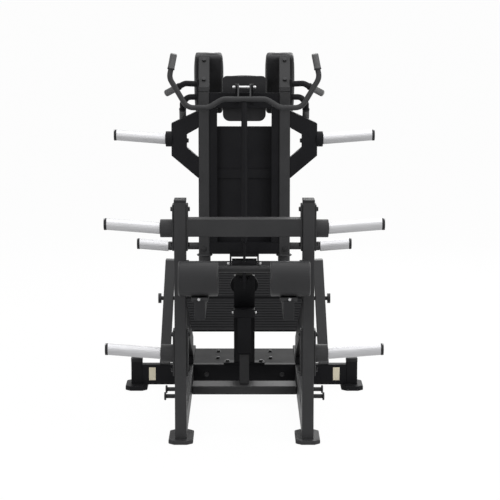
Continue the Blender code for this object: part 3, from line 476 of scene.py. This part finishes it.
place_copies(BOLT, "frame_bolts", frame_spots, "frame", BLACK_STEEL)
brace_spots = [(at(side * 0.050, 0.900, 0.411), (side, 0, 0)) for side in SIDES]
place_copies(SMALL_HEAD, "brace_bracket_bolts", brace_spots, "frame", ZINC)

# %% Lever bolts
ARM_TOP_LEAN = (0, -0.765, 0.645)
dark_spots, bright_spots = [], []
for side in SIDES:
    dark_spots += [(at(side * 0.188, depth, height), ARM_TOP_LEAN)
                   for depth, height in ((0.833, 1.5205), (0.906, 1.6070))]
    dark_spots.append((at(side * 0.188, 0.805, 0.730), (0, -1, 0)))
    dark_spots.append((at(side * 0.267, 0.830, 1.2375), (-side, 0, 0)))
    bright_spots.append((at(side * 0.190, -0.170, 0.6585), (0, -1, 0)))
    bright_spots.append((at(side * 0.0712, 0.800, 0.663), (side, 0, 0)))
    bright_spots.append((at(side * 0.0456, 0.755, 1.490), (side, 0, 0)))
place_copies(BOLT, "carriage_bolts", dark_spots, "lever", BLACK_STEEL)
place_copies(SMALL_HEAD, "pivot_bolts", bright_spots, "lever", ZINC)

# %% [markdown]
# ## Caps and plugs
# Open tube ends are closed with moulded plugs, and each horn has a black cap on its raised tip.

# %% Tube plugs
upright_plug = square_master("upright_plug", 0.0512, 0.1012, 0.0112, -0.0006)
place_copies(upright_plug, "upright_caps",
             [(at(s * 0.274, UPRIGHT_MIDDLE, 1.0442), (0, 0, 1)) for s in SIDES],
             "frame", PLASTIC)
post_plug = square_master("post_plug", 0.0552, 0.0538, 0.0192, -0.0006)
place_copies(post_plug, "end_post_caps", [(at(s * 0.525, 1.125, 0.1312), (0, 0, 1)) for s in SIDES],
             "frame", PLASTIC)
arm_plug = square_master("arm_plug", 0.043, 0.078, 0.003, -0.0005)
place_copies(arm_plug, "arm_end_caps", [(at(s * 0.186, -0.172, 0.612), (0, -1, 0)) for s in SIDES],
             "lever", PLASTIC)
masters += [upright_plug, post_plug, arm_plug]

# %% Horn caps
HORN_SLOPE = math.tan(math.radians(4.5))
horn_cap = round_master("horn_cap", 0.0256, 0.0133, 32, -0.0015, 0.002)
masters.append(horn_cap)


def horn_tips(root_x, depth, root_z, length):
    """Where the caps start on a pair of horns, and the way they look."""
    return [(at(side * (root_x + length), depth, root_z + length * HORN_SLOPE), (side, 0, 0))
            for side in SIDES]


LONG_HORN, SHORT_HORN = 0.228, 0.135
STORAGE_ROOT, STORAGE_HEIGHTS = 0.3593, (0.929, 0.385)
CARRIAGE_DEPTH = 0.830
storage_tips = []
for root_height in STORAGE_HEIGHTS:
    storage_tips += horn_tips(STORAGE_ROOT, UPRIGHT_MIDDLE, root_height, LONG_HORN)
place_copies(horn_cap, "storage_horn_caps", storage_tips, "frame", PLASTIC)
carriage_tips = (horn_tips(0.3655, CARRIAGE_DEPTH, 1.245, LONG_HORN)
                 + horn_tips(0.355, CARRIAGE_DEPTH, 0.742, SHORT_HORN))
place_copies(horn_cap, "carriage_horn_caps", carriage_tips, "lever", PLASTIC)

# %% [markdown]
# ## Inner plates and blank plates
# The lower storage plates clamp the uprights with a second plate inside. The base beam carries two
# cream plates, which are left blank here.

# %% Inner lower plates and blank plates
inner_plate = square_master("inner_plate", 0.076, 0.198, 0.008, 0.0)
place_copies(inner_plate, "inner_lower_plates",
             [(at(s * 0.2487, UPRIGHT_MIDDLE, PLATE_LEVELS[1]), (-s, 0, 0)) for s in SIDES],
             "frame", SATIN)
blank = square_master("blank", 0.032, 0.064, 0.0009, 0.0)
place_copies(blank, "blank_plates", [(at(s * 0.449, BEAM_REAR, 0.072), (0, -1, 0)) for s in SIDES],
             "frame", PLATE)
masters += [inner_plate, blank]

# %% [markdown]
# ## Grips
# A grip is a moulded sleeve pushed on a tube end. It is a cylinder cut into bands, with every other
# band drawn in slightly so that fingers find an edge, and it ends in a collar and a domed cap.

# %% Ribbed sleeve and its end cap
GROOVE = 0.955            # how far a drawn-in band shrinks
SLEEVE_RADIUS = 0.0162
COLLAR_STEP = 0.0077      # from a sleeve's inner end to its collar's


def grip_master(name, radius, length, bands):
    bpy.ops.object.select_all(action="DESELECT")
    bpy.ops.mesh.primitive_cylinder_add(vertices=32, radius=radius, depth=length,
                                        location=(0, 0, -length / 2))
    piece = bpy.context.object
    piece.name = name
    bpy.ops.object.transform_apply(location=True, rotation=True, scale=True)
    start_editing(piece)
    for band in range(1, bands * 2):
        bpy.ops.mesh.select_all(action="SELECT")
        bpy.ops.mesh.bisect(plane_co=(0, 0, -length * band / (bands * 2)), plane_no=(0, 0, 1))
    stop_editing()
    for vert in piece.data.vertices:
        step = round(-vert.co.z / length * bands * 2)
        if step % 2 and 0 < step < bands * 2:
            vert.co.x *= GROOVE
            vert.co.y *= GROOVE
    soften(piece, 0.0006)
    return piece


grip_cap = round_master("grip_cap", 0.0150, 0.0045, 28, 0.0010, 0.0016)
grip_collar = round_master("grip_collar", 0.0168, 0.0075, 28, 0.0, 0.0012)
masters += [grip_cap, grip_collar]


def add_grips(name, body, start, end, length, bands):
    """Sleeves and caps on both ends of a mirrored tube whose last leg runs from start to end."""
    sleeve = grip_master(name + "_master", SLEEVE_RADIUS, length, bands)
    masters.append(sleeve)
    spots, collars = [], []
    for side in SIDES:
        near, tip = at(side * start[0], *start[1:]), at(side * end[0], *end[1:])
        along = (tip - near).normalized()
        spots.append((tip, along))
        collars.append((tip - along * (length + COLLAR_STEP), along))
    place_copies(sleeve, name + "_grips", spots, body, GRIP)
    place_copies(grip_cap, name + "_end_caps", spots, body, GREY_CAP)
    place_copies(grip_collar, name + "_collars", collars, body, PLASTIC)


add_grips("safety_bar", "safety_bar", (0.343, 0.700, 1.536), (0.322, 0.700, 1.641), 0.062, 9)
add_grips("upper_handle", "lever", (0.275, 0.830, 1.503), (0.362, 0.875, 1.455), 0.070, 10)
add_grips("lower_handle", "lever", (0.2875, 0.850, 1.410), (0.2875, 0.905, 1.300), 0.086, 12)

# %% Remove the masters
for master in masters:
    bpy.data.objects.remove(master, do_unlink=True)
print("masters removed", len(masters))

# %% [markdown]
# ## Cushions
# Each pad is foam on a board under vinyl. Its rear is flat where it rests on its plate, and the rest
# is blown out a little by the foam. Cloth with inner pressure does that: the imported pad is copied,
# drawn in a few millimetres, remeshed evenly and inflated with its rear pinned. The remesh would fill a
# narrow seam, so the seam round the sides is pulled in afterwards.

# %% Copy a pad and inflate it
VOXEL = 0.006
DRAWN_IN = 0.004
WELD = 0.00005                           # points nearer than this become one
PRESSURE, LAST_FRAME = 4.0, 20
FACES_REAR = 0.85                        # cosine above which a point is pinned
SEAM_DEPTH, SEAM_REACH, SEAM_PULL = 0.016, 0.005, 0.0022
SHOULDER_LEAN = math.radians(18.0)


def pad_copy(node):
    """A merged copy of a packed pad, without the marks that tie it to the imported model."""
    piece = nodes[node].copy()
    piece.data = nodes[node].data.copy()
    piece.parent = None
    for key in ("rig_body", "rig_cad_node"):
        del piece[key]
    piece.name = node + "_cushion"
    bpy.context.collection.objects.link(piece)
    start_editing(piece)
    bpy.ops.mesh.select_all(action="SELECT")
    bpy.ops.mesh.remove_doubles(threshold=WELD)
    stop_editing()
    return piece


def draw_in(piece, rear):
    """Moves all but the rear face inwards."""
    points = [v.co.copy() for v in piece.data.vertices]
    middle = sum(points, Vector()) / len(points)
    across = rear.cross(Vector((1, 0, 0)))
    for axis in (Vector((1, 0, 0)), across, rear):
        reach = max(abs((p - middle).dot(axis)) for p in points)
        for vert in piece.data.vertices:
            offset = (vert.co - middle).dot(axis)
            if axis is rear and offset > 0:
                continue
            vert.co -= axis * offset * DRAWN_IN / reach


def inflate(piece, rear, cap):
    """Runs the cloth with the rear pinned, then caps how far each point may have moved."""
    pinned = piece.vertex_groups.new(name="rear")
    held = [v.index for v in piece.data.vertices if v.normal.dot(rear) > FACES_REAR]
    pinned.add(held, 1.0, "REPLACE")
    before = [v.co.copy() for v in piece.data.vertices]
    cloth = piece.modifiers.new("Cloth", "CLOTH")
    cloth.settings.use_pressure = True
    cloth.settings.uniform_pressure_force = PRESSURE
    cloth.settings.effector_weights.gravity = 0.0
    cloth.settings.vertex_group_mass = "rear"
    cloth.point_cache.frame_start, cloth.point_cache.frame_end = 1, LAST_FRAME
    for number in range(1, LAST_FRAME + 1):
        bpy.context.scene.frame_set(number)
    pick_only(piece)
    bpy.ops.object.modifier_apply(modifier=cloth.name)
    bpy.context.scene.frame_set(1)
    for vert, start in zip(piece.data.vertices, before):
        moved = vert.co - start
        if moved.length > cap:
            vert.co = start + moved.normalized() * cap
    return len(held)


def sew(piece, rear, depth):
    """Pulls in a seam round the sides, a set distance from the rear."""
    back = max(v.co.dot(rear) for v in piece.data.vertices)
    for vert in piece.data.vertices:
        away = abs(back - vert.co.dot(rear) - depth)
        if away < SEAM_REACH and abs(vert.normal.dot(rear)) < 0.6:
            vert.co -= vert.normal * SEAM_PULL * (1 - away / SEAM_REACH)


def cushion(node, lean, cap):
    """Makes the stuffed cushion that stands for a packed pad, whose rear leans by an angle."""
    rear = Vector((0, -math.cos(lean), -math.sin(lean)))
    piece = pad_copy(node)
    draw_in(piece, rear)
    apply_modifier(piece, "REMESH", mode="VOXEL", voxel_size=VOXEL)
    held = 0
    held = inflate(piece, rear, cap)
    apply_modifier(piece, "SUBSURF", levels=1, render_levels=1)
    sew(piece, rear, SEAM_DEPTH)
    settle(piece, "lever", VINYL)
    bpy.ops.object.shade_smooth()
    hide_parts(node)
    print(node, "pinned", held, "faces", len(piece.data.polygons))


cushion("back_pad", 0.0, 0.010)
cushion("headrest_pad", 0.0, 0.008)
for side_name in ("left", "right"):
    cushion("shoulder_pad_" + side_name, SHOULDER_LEAN, 0.009)

# %% [markdown]
# ## Floor, light and camera
# A plain white floor with soft light from above shows black paint by its edges and its upper faces.
# The floor and world look white to the camera and in reflections, and light the machine at a plain
# level.

# %% Floor and world
FLOOR_GREY, FLOOR_WHITE, FLOOR_DROP, AMBIENT = 0.9, 0.97, 0.0005, 0.30


def white_to_view(tree, lit, white, output, share=None):
    """Shows one shader to light and another to camera, glossy and transmission rays."""
    rays = add_node(tree, "ShaderNodeLightPath", {}, {}).outputs
    most = rays["Is Camera Ray"]
    for ray in ("Is Glossy Ray", "Is Transmission Ray"):
        most = add_node(tree, "ShaderNodeMath", {"operation": "MAXIMUM"},
                        {0: most, 1: rays[ray]}).outputs[0]
    if share:
        most = add_node(tree, "ShaderNodeMath", {"operation": "MULTIPLY"},
                        {0: most, 1: share}).outputs[0]
    mix = add_node(tree, "ShaderNodeMixShader", {}, {0: most, 1: lit, 2: white})
    feed(output, mix.outputs[0])


bpy.ops.object.select_all(action="DESELECT")
bpy.ops.mesh.primitive_plane_add(size=400, location=(0, 0, -FLOOR_DROP))
floor = bpy.context.object
floor.name = "floor"
floor_look = bpy.data.materials.new("pale_floor")
floor_look.use_nodes = True
tree = floor_look.node_tree
base = tree.nodes["Principled BSDF"]
base.inputs["Base Color"].default_value = (FLOOR_GREY, FLOOR_GREY, FLOOR_GREY, 1)
base.inputs["Roughness"].default_value = 0.9
glow = add_node(tree, "ShaderNodeEmission", {}, {"Strength": 1.0})
white_to_view(tree, base.outputs[0], glow.outputs[0], tree.nodes["Material Output"].inputs[0],
              FLOOR_WHITE)
floor.data.materials.append(floor_look)

world = bpy.data.worlds.new("studio")
bpy.context.scene.world = world
world.use_nodes = True
tree = world.node_tree
dim = tree.nodes["Background"]
dim.inputs["Color"].default_value = (1, 1, 1, 1)
dim.inputs["Strength"].default_value = AMBIENT
white = add_node(tree, "ShaderNodeBackground", {}, {"Color": (1, 1, 1, 1)})
white_to_view(tree, dim.outputs[0], white.outputs[0], tree.nodes["World Output"].inputs[0])
print("floor and world ready")

# %% Lamps and camera
def soft_lamp(name, place, target, size, power):
    lamp = bpy.data.lights.new(name, "AREA")
    lamp.size, lamp.energy = size, power
    item = bpy.data.objects.new(name, lamp)
    item.location = place
    item.rotation_euler = (Vector(target) - Vector(place)).to_track_quat("-Z", "Y").to_euler()
    bpy.context.collection.objects.link(item)


MACHINE_MIDDLE = (0, 0, 0.8)
soft_lamp("overhead", (0.3, 0.2, 4.2), MACHINE_MIDDLE, 6.0, 200)
soft_lamp("rear_left", (-3.0, -4.0, 2.6), MACHINE_MIDDLE, 2.4, 95)
soft_lamp("rear_right", (3.4, -2.6, 2.8), MACHINE_MIDDLE, 2.0, 110)
soft_lamp("front", (1.0, 4.5, 2.6), MACHINE_MIDDLE, 2.4, 60)

EYE, AIM = (0, -8.698, 2.0), (0, -0.198, 0.77)
lens = bpy.data.cameras.new("camera")
lens.sensor_width = 36
lens.lens = 136.8
lens.shift_x = 0.0114
camera = bpy.data.objects.new("camera", lens)
camera.location = EYE
camera.rotation_euler = (Vector(AIM) - Vector(EYE)).to_track_quat("-Z", "Y").to_euler()
bpy.context.collection.objects.link(camera)
bpy.context.scene.camera = camera
bpy.context.scene.view_settings.view_transform = "Standard"
print("camera", tuple(round(value, 3) for value in camera.location), "lens", lens.lens)
